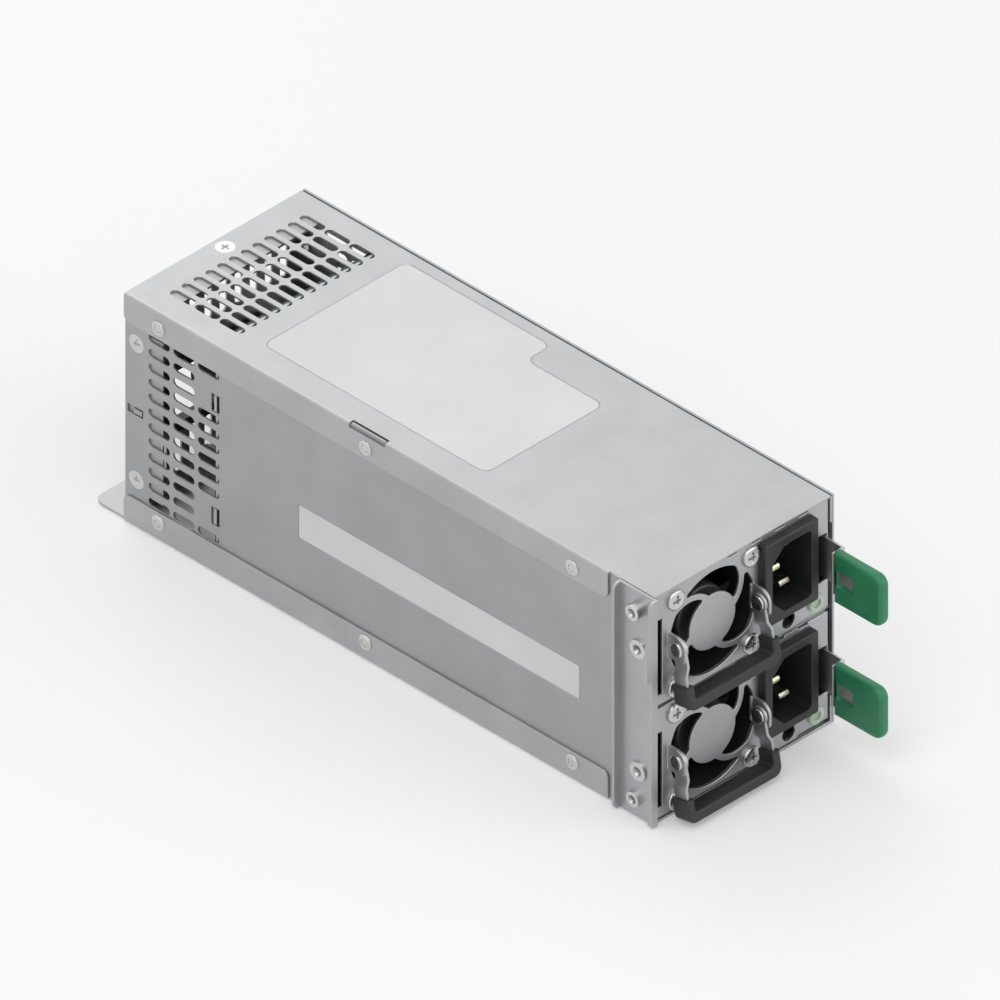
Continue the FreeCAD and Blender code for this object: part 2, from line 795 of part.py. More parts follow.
def face_plate(floor):
    centre = floor + fan_rise
    top = floor + module_height
    pivot = pivot_point(floor)
    plate = block(-module_half, module_half, face_front, face_back, floor, top)
    roots = [block(x0 - 0.5, x1 + 0.5, face_front - 2, face_back + 2, pivot.z - ear_bottom, pivot.z + ear_top)
             for x0, x1 in ear_sides()]
    tools = [cut_all(leaf, roots) for leaf in grille_openings(V(fan_x, 0, centre))]
    tools += [rod(pan_shank + hole_gap, point - Y, Y, 4) for point in fan_screw_points(floor)]
    tools.append(inlet_core(floor, inlet_fit))
    inner = latch_x - latch_sheet - latch_throw
    tools.append(block(inner, latch_x + 0.3, face_front - 1, face_back + 1,
                       centre - latch_bottom - latch_margin, centre + latch_top + latch_margin))
    tools.append(rod(light_hole + 0.4, V(light_x, face_front - 1, centre - light_drop), Y, 4))
    tools.append(rod(view_hole_radius, V(view_hole_x, face_front - 1, centre - view_hole_drop), Y, 4))
    tools.append(block(-module_half - 1, -module_half + notch_width, face_front - 1, face_back + 1,
                       centre - notch_bottom, centre + notch_top))
    tools.append(plate_y([(step_start, floor - 1), (step_start, floor), (step_start + step_rise, floor + step_rise),
                          (module_half + 1, floor + step_rise), (module_half + 1, floor - 1)],
                         face_front - 1, face_back + 1))
    tools += [block(x - 2, x + 2, face_front - 1, face_back + 1, top - 0.8, top + 1) for x in (-4, 6, 16, 26)]
    plate = cut_all(plate, tools)
    flanges = [
        block(-30, 5, face_back, face_back + 8, top - 2 * module_sheet, top - module_sheet),
        block(10, 28, face_back, face_back + 8, floor + module_sheet, floor + 2 * module_sheet),
        block(-module_inner, -module_inner + module_sheet, face_back, face_back + 8, centre + 12.5, top - 2.5)]
    plate = fuse_all([plate] + [ear(floor, x0, x1) for x0, x1 in ear_sides()] + flanges)
    return plate.cut(rod(pivot_radius, V(-module_half, pivot.y, pivot.z), X, 2 * module_half))


# Fan

def fan_frame(floor):
    centre = V(fan_x, face_back, floor + fan_rise)
    half = fan_size / 2
    frame = block(centre.x - half, centre.x + half, centre.y, centre.y + fan_depth, centre.z - half, centre.z + half)
    frame = rounded(frame, fan_corner, Y).cut(rod(fan_bore, centre - Y, Y, fan_depth + 2))
    back = centre + Y * (fan_depth - motor_plate)
    parts = [frame, rod(motor_radius, back, Y, motor_plate),
             rod(shaft_radius + shaft_gap + bearing_wall, centre + Y * 10, Y, fan_depth - 10)]
    for quarter in range(4):
        strut = block(back.x - strut_width / 2, back.x + strut_width / 2, back.y, back.y + motor_plate,
                      back.z + motor_radius - 1, back.z + fan_bore + 0.3)
        strut.rotate(back, Y, 45 + 90 * quarter)
        parts.append(strut)
    tools = [rod(shaft_radius + shaft_gap, centre, Y, fan_depth + 1)]
    tools += [rod(pan_shank, point, Y, pan_length + 1) for point in fan_screw_points(floor)]
    return cut_all(fuse_all(parts), tools)


def fan_blade(centre):
    sections = []
    for radius, pitch, chord in ((fan_hub - 0.6, 58.0, 8.0), (fan_bore + 1, 32.0, 13.0)):
        angle = math.radians(pitch)
        along, across = V(math.cos(angle), math.sin(angle), 0), V(-math.sin(angle), math.cos(angle), 0)
        middle_point = centre + V(0, 12.0, radius)
        points = [middle_point + along * (chord / 2 * u) + across * (blade_sheet / 2 * v)
                  for u, v in ((-1, -1), (1, -1), (1, 1), (-1, 1))]
        sections.append(Part.makePolygon(points + points[:1]))
    return Part.makeLoft(sections, True, True)


def fan_rotor(floor):
    centre = V(fan_x, face_back, floor + fan_rise)
    cup = rod(fan_hub, centre + Y * 3, Y, 20)
    cup = cup.makeFillet(1.2, [e for e in cup.Edges if e.CenterOfMass.y < centre.y + 3.01])
    cup = cup.cut(rod(fan_hub - 1.4, centre + Y * 5, Y, 20))
    sweep = rod(fan_bore - blade_gap, centre, Y, fan_depth).cut(rod(fan_hub - 0.7, centre - Y, Y, fan_depth + 2))
    parts = [cup, rod(shaft_radius, centre + Y * 4.5, Y, fan_depth - 5)]
    for i in range(fan_blades):
        blade = fan_blade(centre).common(sweep)
        blade.rotate(centre, Y, 360 / fan_blades * i)
        parts.append(blade)
    return parts[0].multiFuse(parts[1:])


def fan_screws(floor):
    screws = []
    for point in fan_screw_points(floor):
        head = rod(pan_head_radius, point - Y * pan_head_height, Y, pan_head_height)
        head = head.makeFillet(0.8, [e for e in head.Edges if e.CenterOfMass.y < point.y - pan_head_height + 0.01])
        screws.append(head.fuse(rod(pan_shank, point, Y, pan_length)))
    return screws


# Mains inlet

def inlet_core(floor, grow=0.0):
    centre = floor + fan_rise + inlet_rise
    w, h = cavity_width / 2 + inlet_wall + grow, cavity_height / 2 + inlet_wall + grow
    return block(inlet_x - w, inlet_x + w, face_front - 0.5, face_back + inlet_depth, centre - h, centre + h)


def inlet_housing(floor):
    centre = floor + fan_rise + inlet_rise
    mouth = face_front - inlet_proud
    w, h = inlet_width / 2, inlet_height / 2
    frame = rounded(block(inlet_x - w, inlet_x + w, mouth, face_front, centre - h, centre + h), 1.0, Y)
    frame = frame.makeFillet(inlet_round, [e for e in frame.Edges if e.BoundBox.YMax < mouth + 0.01])
    w, h, c = cavity_width / 2, cavity_height / 2, cavity_chamfer
    x0, x1, z0, z1 = inlet_x - w, inlet_x + w, centre - h, centre + h
    cavity = plate_y([(x0, z0 + c), (x0 + c, z0), (x1, z0), (x1, z1), (x0 + c, z1), (x0, z1 - c)],
                     mouth - 1, mouth + cavity_depth)
    cavity = rounded(cavity, cavity_round, Y, lambda p: p.x > x1 - 0.01)
    return cut_all(fuse_all([frame, inlet_core(floor)]), [cavity] + pin_blanks(floor))


def pin_blanks(floor):
    centre = floor + fan_rise + inlet_rise
    places = [(-pin_offset / 2, 0), (pin_offset / 2, pin_spacing / 2), (pin_offset / 2, -pin_spacing / 2)]
    blanks = []
    for dx, dz in places:
        x, z = inlet_x + dx, centre + dz
        blanks.append(block(x - pin_width / 2, x + pin_width / 2, face_front - inlet_proud + pin_recess,
                            face_back + inlet_depth + pin_tail, z - pin_thickness / 2, z + pin_thickness / 2))
    return blanks


def inlet_pins(floor):
    tip = face_front - inlet_proud + pin_recess
    return [pin.makeChamfer(0.6, straight_edges(pin, X, lambda p: p.y < tip + 0.01)) for pin in pin_blanks(floor)]


# Bail handle: drawn hanging straight down, p forward and q down from the pivot, then tilted to its rest

def tilted(shape, floor):
    turned = shape.copy()
    turned.rotate(pivot_point(floor), X, -bail_tilt)
    return turned


def side_profile(floor, points, x0, x1):
    pivot = pivot_point(floor)
    return plate_x([(pivot.y - p, pivot.z - q) for p, q in points], x0, x1)


def bail(floor):
    pivot = pivot_point(floor)
    web_low, web_high = grip_bottom - 2.1, grip_bottom - 1.1
    parts = []
    for side in (-1, 1):
        out = ear_span / 2 - ear_sheet - bail_side_gap
        mid = out - bail_sheet
        lug = rod(bail_lug, V(min(bail_x + side * out, bail_x + side * mid), pivot.y, pivot.z), X, bail_sheet)
        bent = [(side * out, 0), (side * out, -joggle_start), (side * (out + joggle), -joggle_end),
                (side * (out + joggle), -web_high), (side * (mid + joggle), -web_high),
                (side * (mid + joggle), -joggle_end), (side * mid, -joggle_start), (side * mid, 0)]
        strip = plate_y([(bail_x + x, pivot.z + z) for x, z in bent], pivot.y - 8, pivot.y + 8)
        shape = [(bail_lug - 0.7, 0), (neck_front, joggle_end - 1.5), (neck_front, web_high), (-neck_back, web_high),
                 (-neck_back, joggle_end - 1.0), (-bail_lug, 0.2)]
        parts += [lug, strip.common(side_profile(floor, shape, bail_x - ear_span, bail_x + ear_span))]
    half = ear_span / 2 - ear_sheet - bail_side_gap + joggle
    parts.append(block(bail_x - half, bail_x + half, pivot.y - neck_front, pivot.y + neck_back,
                       pivot.z - web_high, pivot.z - web_low))
    body = fuse_all(parts)
    body = body.cut(rod(pivot_radius + pivot_gap, V(bail_x - ear_span, pivot.y, pivot.z), X, 2 * ear_span))
    return tilted(body, floor)


def handle_grip(floor):
    pivot = pivot_point(floor)
    y0, y1 = pivot.y - grip_front, pivot.y + grip_back
    low = pivot.z - grip_bottom
    outer = block(bail_x - grip_outer, bail_x + grip_outer, y0, y1, low, pivot.z - grip_top)
    outer = rounded(outer, grip_corner, Y, lambda p: p.z < low + 0.01)
    inner = block(bail_x - grip_outer + grip_leg, bail_x + grip_outer - grip_leg, y0 - 1, y1 + 1,
                  pivot.z - grip_bar_top, pivot.z)
    grip = outer.cut(rounded(inner, 1.2, Y, lambda p: p.z < pivot.z - grip_bar_top + 0.01))
    grip = grip.makeFillet(grip_round, [e for e in grip.Edges if e.BoundBox.YMax < y0 + 0.01])
    return tilted(grip, floor).cut(bail(floor))


def handle_pivots(floor):
    pivot = pivot_point(floor)
    pins = []
    for side, (x0, x1) in zip((-1, 1), ear_sides()):
        start = V(x0 if side < 0 else x1, pivot.y, pivot.z)
        inward = X * -side
        reach = ear_sheet + bail_side_gap * 2 + bail_sheet
        pins.append(fuse_all([rod(pivot_radius, start, inward, reach),
                              rod(pivot_head, start - inward * pivot_head_height, inward, pivot_head_height),
                              rod(pivot_head, start + inward * reach, inward, pivot_head_height)]))
    return pins


# Latch: a sprung strip along the right side with a moulded finger tab

def latch_strip(floor):
    centre = floor + fan_rise
    low, high = centre - latch_bottom, centre + latch_top
    tip = face_front - latch_reach
    mid = (low + high) / 2
    x1, x0 = latch_x, latch_x - latch_sheet
    inset = x1 - latch_offset + 1.0
    y = face_front + catch_place
    tooth = Part.Face(Part.makePolygon([V(x1, y, mid - catch_height / 2), V(module_half + catch_reach, y + catch_length,
                      mid - catch_height / 2), V(x1, y + catch_length, mid - catch_height / 2),
                      V(x1, y, mid - catch_height / 2)])).extrude(Z * catch_height)
    strip = fuse_all([block(x0, x1, tip, front + latch_pivot + latch_root, low, high),
                      block(x1 - latch_offset, x1, tip, tip + latch_sheet, low, high),
                      block(inset, inset + latch_sheet, tip - tab_length + 6, tip + latch_sheet, low + 1, high - 1),
                      tooth])
    hole = latch_rivet + latch_rivet_gap
    return cut_all(strip, [rod(hole, point - X * 3, X, 3) for point in latch_rivet_points(floor)])


def latch_rivets(floor):
    rivets = []
    inner = latch_gap + latch_sheet + latch_rivet_gap + 0.05
    for point in latch_rivet_points(floor):
        shank = rod(latch_rivet, point - X * inner, X, inner + module_sheet)
        rivets.append(shank.fuse(Part.makeCone(latch_rivet_head - 0.5, latch_rivet_head, 0.7,
                                               point - X * (inner + 0.7), X)))
    return rivets


def latch_tab(floor):
    centre = floor + fan_rise
    x0 = latch_x - latch_offset - 0.2
    x1 = x0 + tab_thickness
    y1 = front - tab_back
    y0 = y1 - tab_length
    tab = block(x0, x1, y0, y1, centre - tab_bottom, centre + tab_top)
    tab = rounded(tab, tab_corner, X, lambda p: p.y < y0 + 0.01)
    tab = tab.makeFillet(tab_round, [e for e in tab.Edges if e.BoundBox.XLength < 0.01])
    y, z = front - tab_hole_place, centre - tab_hole_drop
    hole = block(x0 - 1, x1 + 1, y - tab_hole_length / 2, y + tab_hole_length / 2,
                 z - tab_hole_height / 2, z + tab_hole_height / 2)
    return tab.cut(latch_strip(floor)).cut(rounded(hole, 1.4, X))


def status_light(floor):
    point = V(light_x, face_front, floor + fan_rise - light_drop)
    ring = rod(light_radius, point - Y * light_proud, Y, light_proud).fuse(rod(light_hole + 0.3, point, Y, 6))
    return ring.cut(rod(light_hole, point - Y * 2, Y, 1.8))


# Inside a module

def main_board(floor):
    z = floor + board_height
    half = module_half - board_inset
    end = front + module_length - 3
    return fuse_all([block(-half, half, front + board_front, end, z, z + board_thickness),
                     block(-card_width / 2, card_width / 2, end, board_y - 1.6, z, z + board_thickness)])


def transformer_y():
    return front + module_length - transformer_setback


def capacitors(floor):
    z = floor + board_height + board_thickness
    can_length = transformer_y() - transformer_reach - can_gap - (front + can_start)
    cans = [can(can_radius, V(-16, front + can_start, z + can_radius), Y, can_length)]
    y = front + module_length - small_can_setback
    return cans + [can(4.5, V(x, y, z), Z, 20) for x in (-15.0, -5.0, 5.0, 15.0)]


def transformer(floor):
    z = floor + board_height + board_thickness
    y = transformer_y()
    half = transformer_width / 2
    core = block(-half, half, y - 14, y + 14, z + 3, z + 27)
    coil = rounded(block(-12, 12, y - transformer_reach, y + transformer_reach, z + 8, z + 22), 3, Z)
    return fuse_all([core, coil, block(-14, 14, y - 17, y + 17, z, z + 8)])


def heat_sinks(floor):
    z = floor + board_height + board_thickness
    y0, y1 = transformer_y() - sink_lead, front + module_length - sink_setback
    pitch = (sink_height - 3) / sink_fins
    sinks = []
    for side in (-1, 1):
        x = side * (module_inner - sink_inset)
        root, tip = x + side * sink_sheet, x + side * sink_depth
        parts = [block(x, root, y0, y1, z, z + sink_height)]
        parts += [block(root, tip, y0, y1, z + 2 + pitch * i, z + 3.2 + pitch * i) for i in range(sink_fins)]
        sinks.append(fuse_all(parts))
    return sinks


def input_choke(floor):
    z = floor + board_height + board_thickness
    y = front + choke_start
    ring = rod(12, V(18, y - 5, z + 13), Y, 10).cut(rod(6, V(18, y - 6, z + 13), Y, 12))
    return ring.fuse(block(8, 28, y - 7, y + 7, z, z + 2.5))


def build():
    os.makedirs("parts", exist_ok=True)
    cage = {
        "top_cover": top_cover(), "bottom_tray": bottom_tray(),
        "left_wall": side_wall(-1), "right_wall": side_wall(1),
        "rear_panel": rear_panel(), "cable_bushing": cable_bushing(), "bay_shelf": bay_shelf(),
        "cage_rivets": cage_rivets(), "cage_screws": cage_screws(),
        "side_bracket": side_bracket(), "bracket_standoffs": bracket_standoffs(), "bracket_nuts": bracket_nuts(),
        "backplane_bracket": backplane_bracket(), "backplane_board": backplane_board(),
        "board_spacers": board_spacers(), "backplane_connectors": backplane_connectors(),
        "backplane_capacitors": backplane_capacitors(), "output_lugs": output_lugs(),
    }
    for name, shapes in cage.items():
        save(name, shapes)
    module = {
        "chassis": chassis, "lid": lid, "lid_screws": lid_screws, "face_plate": face_plate,
        "fan_frame": fan_frame, "fan_rotor": fan_rotor, "fan_screws": fan_screws,
        "inlet_housing": inlet_housing, "inlet_pins": inlet_pins,
        "bail": bail, "handle_grip": handle_grip, "handle_pivots": handle_pivots,
        "latch_strip": latch_strip, "latch_tab": latch_tab, "latch_rivets": latch_rivets,
        "status_light": status_light, "main_board": main_board, "capacitors": capacitors,
        "transformer": transformer, "heat_sinks": heat_sinks, "input_choke": input_choke,
    }
    for level, floor in (("lower", lower_floor), ("upper", upper_floor)):
        for name, make in module.items():
            save(level + "_" + name, make(floor))


build()
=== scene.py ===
import json
import math

import bmesh
import bpy
from mathutils import Matrix, Vector


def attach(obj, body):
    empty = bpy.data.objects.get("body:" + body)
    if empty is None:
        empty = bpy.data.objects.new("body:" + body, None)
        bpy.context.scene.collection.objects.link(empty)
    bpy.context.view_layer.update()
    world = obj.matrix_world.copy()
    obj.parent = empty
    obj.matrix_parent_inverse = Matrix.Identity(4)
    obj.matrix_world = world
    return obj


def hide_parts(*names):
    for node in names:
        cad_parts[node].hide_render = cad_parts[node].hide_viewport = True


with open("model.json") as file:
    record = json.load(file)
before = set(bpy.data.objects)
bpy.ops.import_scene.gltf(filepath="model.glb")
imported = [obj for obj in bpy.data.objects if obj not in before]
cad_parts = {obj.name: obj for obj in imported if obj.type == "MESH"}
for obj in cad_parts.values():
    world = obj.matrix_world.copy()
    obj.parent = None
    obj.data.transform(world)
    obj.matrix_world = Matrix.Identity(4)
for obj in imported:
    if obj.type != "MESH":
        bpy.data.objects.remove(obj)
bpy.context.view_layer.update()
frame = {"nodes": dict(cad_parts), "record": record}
mm = 0.001
tiny = 1e-6  # metres, for telling whether two places are the same
slack = 0.01  # millimetres, for finding the edges at a height
cage = dict(front=-112.35, length=224.7, height=83.6, leftWall=-37.7, side=38.5, bracket=-38.7)  # millimetres
faceY = cage["front"] + 0.5  # front of a module's face plate
fanX = -12.6
levels = {"lower": 20.65, "upper": 62.05}  # height of each fan's centre
print("frame loaded,", len(frame["nodes"]), "nodes")


# helpers for modelling, with sizes in millimetres

def activate(piece):
    if bpy.context.mode != "OBJECT":
        bpy.ops.object.mode_set(mode="OBJECT")
    bpy.ops.object.select_all(action="DESELECT")
    piece.select_set(True)
    bpy.context.view_layer.objects.active = piece
    return piece


def discard(piece):
    bpy.data.objects.remove(piece, do_unlink=True)


def pick(piece, kind, test):  # leaves edit mode on, with only the chosen parts selected
    activate(piece)
    bpy.ops.object.mode_set(mode="EDIT")
    bpy.ops.mesh.select_mode(type=kind)
    bpy.ops.mesh.select_all(action="DESELECT")
    mesh = bmesh.from_edit_mesh(piece.data)
    parts = {"FACE": mesh.faces, "EDGE": mesh.edges, "VERT": mesh.verts}[kind]
    for part in parts:
        if test(part):
            part.select = True
    mesh.select_flush_mode()
    bmesh.update_edit_mesh(piece.data)


def pickAll(piece):
    pick(piece, "VERT", lambda vert: True)


def middleOf(part):
    total = Vector((0, 0, 0))
    for vert in part.verts:
        total += vert.co
    return total / len(part.verts)


def reachOf(edge, axis):  # how far an edge runs along an axis
    return abs(edge.verts[0].co[axis] - edge.verts[1].co[axis])


def facesUp(face):
    return face.normal.z > 0.9


def facesDown(face):
    return face.normal.z < -0.9


def discAbove(face):  # a round face, not one of the quads about it
    return facesUp(face) and len(face.verts) > 8


def discBelow(face):
    return facesDown(face) and len(face.verts) > 8


def applyMoves(piece):
    activate(piece)
    bpy.ops.object.transform_apply(location=True, rotation=True, scale=True)
    return piece


def addCylinder(radius, depth, base=(0, 0, 0), sides=48):  # stands on base, along Z
    bpy.ops.object.select_all(action="DESELECT")
    place = (base[0] * mm, base[1] * mm, (base[2] + depth / 2) * mm)
    bpy.ops.mesh.primitive_cylinder_add(vertices=sides, radius=radius * mm, depth=depth * mm, location=place)
    return applyMoves(bpy.context.object)


def addBlock(low, high):
    bpy.ops.object.select_all(action="DESELECT")
    middle = [(a + b) / 2 * mm for a, b in zip(low, high)]
    bpy.ops.mesh.primitive_cube_add(size=1, location=middle)
    piece = bpy.context.object
    piece.scale = [(b - a) * mm for a, b in zip(low, high)]
    return applyMoves(piece)


def stepFace(piece, test, inset, move):  # insets the chosen faces or starts new walls, then moves them
    pick(piece, "FACE", test)
    if inset:
        bpy.ops.mesh.inset(thickness=inset * mm, use_even_offset=True)
    else:
        bpy.ops.mesh.extrude_region_move()
    if any(move):
        bpy.ops.transform.translate(value=[step * mm for step in move])
    activate(piece)


def stepTop(piece, inset, rise):
    top = max(vert.co.z for vert in piece.data.vertices)
    stepFace(piece, lambda face: middleOf(face).z > top - tiny and facesUp(face), inset, (0, 0, rise))


def addShank(piece, inset, length):  # a narrower rod below the underside
    stepFace(piece, facesDown, inset, (0, 0, 0))
    stepFace(piece, discBelow, 0, (0, 0, -length))


def cutAcross(piece, place):  # new edges on a plane across X
    pick(piece, "FACE", lambda face: True)
    bpy.ops.mesh.bisect(plane_co=(place * mm, 0, 0), plane_no=(1, 0, 0))
    activate(piece)


def mergeFlat(piece, degrees):
    pickAll(piece)
    bpy.ops.mesh.dissolve_limited(angle_limit=math.radians(degrees))
    activate(piece)


def bevelEdges(piece, test, width, segments):
    pick(piece, "EDGE", test)
    bpy.ops.mesh.bevel(offset=width * mm, segments=segments, affect="EDGES", clamp_overlap=False)
    activate(piece)


def bevelRim(piece, height, width, segments):  # rounds the rim of a top at this height
    bevelEdges(piece, lambda edge: middleOf(edge).z > (height - slack) * mm, width, segments)


def softenEdges(piece, width, segments=2, angle=45):
    activate(piece)
    soft = piece.modifiers.new("soft", "BEVEL")
    soft.width = width * mm
    soft.segments = segments
    soft.limit_method = "ANGLE"
    soft.angle_limit = math.radians(angle)
    soft.use_clamp_overlap = False
    soft.harden_normals = False
    bpy.ops.object.modifier_apply(modifier=soft.name)


def combine(piece, tool, operation="DIFFERENCE"):
    activate(piece)
    cut = piece.modifiers.new("cut", "BOOLEAN")
    cut.object = tool
    cut.operation = operation
    cut.solver = "EXACT"
    bpy.ops.object.modifier_apply(modifier=cut.name)
    discard(tool)
    return piece


def joinAll(pieces):
    activate(pieces[0])
    for piece in pieces:
        piece.select_set(True)
    bpy.ops.object.join()
    return bpy.context.object


def copyTo(piece, matrix):
    twin = piece.copy()
    twin.data = piece.data.copy()
    bpy.context.collection.objects.link(twin)
    twin.data.transform(matrix)
    return twin


def shift(place):
    return Matrix.Translation(Vector(place) * mm)


def outward(way, place):  # turns a piece that stands along +Z, and moves it
    return shift(place) @ Vector(way).to_track_quat("Z", "Y").to_matrix().to_4x4()


def finish(piece, name, body, material, angle=32):
    applyMoves(piece)
    piece.name = name
    piece.data.name = name
    bpy.ops.object.shade_smooth_by_angle(angle=math.radians(angle))
    flat = piece.modifiers.new("flat", "WEIGHTED_NORMAL")  # keeps the large faces evenly shaded
    flat.keep_sharp = True
    bpy.ops.object.modifier_apply(modifier=flat.name)
    piece.data.materials.clear()
    piece.data.materials.append(material)
    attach(piece, body)


def standFor(node, piece, name, material=None, angle=32):  # the piece takes the node's body, slot and finish
    slot = slotOf[node]
    finish(piece, name, bodyOf[node], material or finishes[slot], angle)
    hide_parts(node)


def placeSet(node, model, spots, name):  # copies as one piece, each on its spot and facing its way
    standFor(node, joinAll([copyTo(model, outward(way, place)) for place, way in spots]), name)


# finishes

noiseSpan = (0.3, 0.7)  # where nearly all noise lies
shadeSpan = (0.32, 0.68)


def startMaterial(name):
    material = bpy.data.materials.new(name)
    material.use_nodes = True
    tree = material.node_tree
    return material, tree, tree.nodes["Principled BSDF"]


def addNode(tree, kind, **values):
    node = tree.nodes.new(kind)
    for key, value in values.items():
        if key in node.inputs:
            node.inputs[key].default_value = value
        else:
            setattr(node, key, value)
    return node


def noiseField(tree, scale, stretch=(1, 1, 1), detail=2.0):
    coords = addNode(tree, "ShaderNodeTexCoord")
    mapping = addNode(tree, "ShaderNodeMapping", Scale=stretch)
    noise = addNode(tree, "ShaderNodeTexNoise", Scale=scale, Detail=detail, Roughness=0.5)
    tree.links.new(coords.outputs["Object"], mapping.inputs["Vector"])
    tree.links.new(mapping.outputs["Vector"], noise.inputs["Vector"])
    return noise.outputs["Fac"]


def remap(tree, value, low, high):
    node = addNode(tree, "ShaderNodeMapRange")
    for key, number in zip(("From Min", "From Max", "To Min", "To Max"), (*noiseSpan, low, high)):
        node.inputs[key].default_value = number
    tree.links.new(value, node.inputs["Value"])
    return node.outputs["Result"]


def shade(tree, value, *colours):
    ramp = addNode(tree, "ShaderNodeValToRGB")
    for element, position, colour in zip(ramp.color_ramp.elements, shadeSpan, colours):
        element.position = position
        element.color = (*colour, 1)
    tree.links.new(value, ramp.inputs["Fac"])
    return ramp.outputs["Color"]


def average(tree, first, second):
    half = addNode(tree, "ShaderNodeMath", operation="MULTIPLY")
    half.inputs[1].default_value = 0.5
    tree.links.new(second, half.inputs[0])
    both = addNode(tree, "ShaderNodeMath", operation="MULTIPLY_ADD")
    both.inputs[1].default_value = 0.5
    tree.links.new(first, both.inputs[0])
    tree.links.new(half.outputs[0], both.inputs[2])
    return both.outputs[0]


def addBump(tree, shader, value, strength, distance):
    bump = addNode(tree, "ShaderNodeBump", Strength=strength, Distance=distance * mm)
    tree.links.new(value, bump.inputs["Height"])
    tree.links.new(bump.outputs["Normal"], shader.inputs["Normal"])


def sheetMetal(name, look):  # cloudy zinc or nickel with a rolled grain
    material, tree, shader = startMaterial(name)
    shader.inputs["Metallic"].default_value = look.get("metal", 1.0)
    cloud = noiseField(tree, look["cloud"], detail=4)
    grain = noiseField(tree, look["grain"], stretch=look["along"])
    tree.links.new(shade(tree, cloud, look["dark"], look["light"]), shader.inputs["Base Color"])
    tree.links.new(remap(tree, average(tree, grain, cloud), *look["rough"]), shader.inputs["Roughness"])
    addBump(tree, shader, grain, look["bump"], distance=0.02)
    return material


def plastic(name, look):
    material, tree, shader = startMaterial(name)
    cloud = noiseField(tree, look["cloud"], detail=3)
    tree.links.new(shade(tree, cloud, look["dark"], look["light"]), shader.inputs["Base Color"])
    tree.links.new(remap(tree, cloud, *look["rough"]), shader.inputs["Roughness"])
    addBump(tree, shader, noiseField(tree, look["grain"]), look["bump"], distance=0.03)
    return material


zincFinish = dict(
    dark=(0.42, 0.43, 0.44), light=(0.465, 0.475, 0.485), rough=(0.38, 0.47), cloud=60, grain=900,
    along=(1, 0.03, 1), bump=0.10, metal=0.9)
# painted shade: a darker copy of the cover's zinc, for the side walls and the rear panel
shadedWallFinish = dict(zincFinish, dark=(0.370, 0.380, 0.390), light=(0.405, 0.415, 0.425), rough=(0.42, 0.50))
springFinish = dict(
    dark=(0.52, 0.52, 0.51), light=(0.58, 0.58, 0.57), rough=(0.36, 0.48), cloud=80, grain=1200,
    along=(1, 0.05, 1), bump=0.08)
brightFinish = dict(
    dark=(0.56, 0.56, 0.55), light=(0.64, 0.64, 0.63), rough=(0.18, 0.32), cloud=400, grain=2500,
    along=(1, 1, 1), bump=0.05)
sinkFinish = dict(
    dark=(0.62, 0.63, 0.64), light=(0.70, 0.71, 0.72), rough=(0.3, 0.42), cloud=60, grain=1500,
    along=(1, 0.03, 1), bump=0.12)
brassFinish = dict(
    dark=(0.66, 0.60, 0.47), light=(0.74, 0.69, 0.56), rough=(0.22, 0.34), cloud=200, grain=1500,
    along=(1, 1, 1), bump=0.05)
blackFinish = dict(
    dark=(0.018, 0.018, 0.019), light=(0.026, 0.026, 0.027), rough=(0.42, 0.56), cloud=120, grain=3800,
    bump=0.22)
fanFinish = dict(
    dark=(0.016, 0.016, 0.017), light=(0.022, 0.022, 0.023), rough=(0.34, 0.46), cloud=120, grain=4200,
    bump=0.12)
rotorFinish = dict(
    dark=(0.050, 0.050, 0.053), light=(0.062, 0.062, 0.065), rough=(0.30, 0.42), cloud=160, grain=4200,
    bump=0.10)
gripFinish = dict(
    dark=(0.020, 0.021, 0.022), light=(0.029, 0.030, 0.031), rough=(0.48, 0.62), cloud=150, grain=3000,
    bump=0.30)
tabFinish = dict(
    dark=(0.020, 0.190, 0.085), light=(0.028, 0.225, 0.105), rough=(0.36, 0.5), cloud=140, grain=3200,
    bump=0.18)
lightFinish = dict(
    dark=(0.50, 0.60, 0.50), light=(0.56, 0.66, 0.56), rough=(0.18, 0.26), cloud=200, grain=2500, bump=0.04)
nylonFinish = dict(
    dark=(0.72, 0.72, 0.69), light=(0.78, 0.78, 0.75), rough=(0.4, 0.5), cloud=150, grain=3000, bump=0.1)
boardFinish = dict(
    dark=(0.012, 0.085, 0.035), light=(0.018, 0.115, 0.048), rough=(0.26, 0.38), cloud=220, grain=1800,
    bump=0.12)
canFinish = dict(
    dark=(0.030, 0.034, 0.045), light=(0.042, 0.047, 0.060), rough=(0.24, 0.34), cloud=200, grain=2500,
    bump=0.05)
ferriteFinish = dict(
    dark=(0.045, 0.042, 0.040), light=(0.070, 0.066, 0.062), rough=(0.5, 0.66), cloud=260, grain=2200,
    bump=0.3)
labelFinish = dict(
    dark=(0.70, 0.71, 0.71), light=(0.76, 0.77, 0.77), rough=(0.42, 0.52), cloud=40, grain=2600, bump=0.05)

finishes = {
    "zinc_steel": sheetMetal("zincPlatedSheet", zincFinish),
    "spring_steel": sheetMetal("springStrip", springFinish),
    "bright_steel": sheetMetal("nickelPlated", brightFinish),
    "sink_aluminium": sheetMetal("extrudedSink", sinkFinish),
    "tinned_brass": sheetMetal("tinnedBrass", brassFinish),
    "black_plastic": plastic("blackMoulding", blackFinish),
    "fan_plastic": plastic("fanMoulding", fanFinish),
    "rotor_plastic": plastic("rotorMoulding", rotorFinish),
    "grip_plastic": plastic("gripMoulding", gripFinish),
    "tab_plastic": plastic("greenMoulding", tabFinish),
    "light_plastic": plastic("lightGuide", lightFinish),
    "white_nylon": plastic("whiteNylon", nylonFinish),
    "circuit_board": plastic("solderResist", boardFinish),
    "can_aluminium": plastic("canSleeve", canFinish),
    "ferrite": plastic("ferriteAndTape", ferriteFinish),
}
blankLabel = plastic("blankLabel", labelFinish)
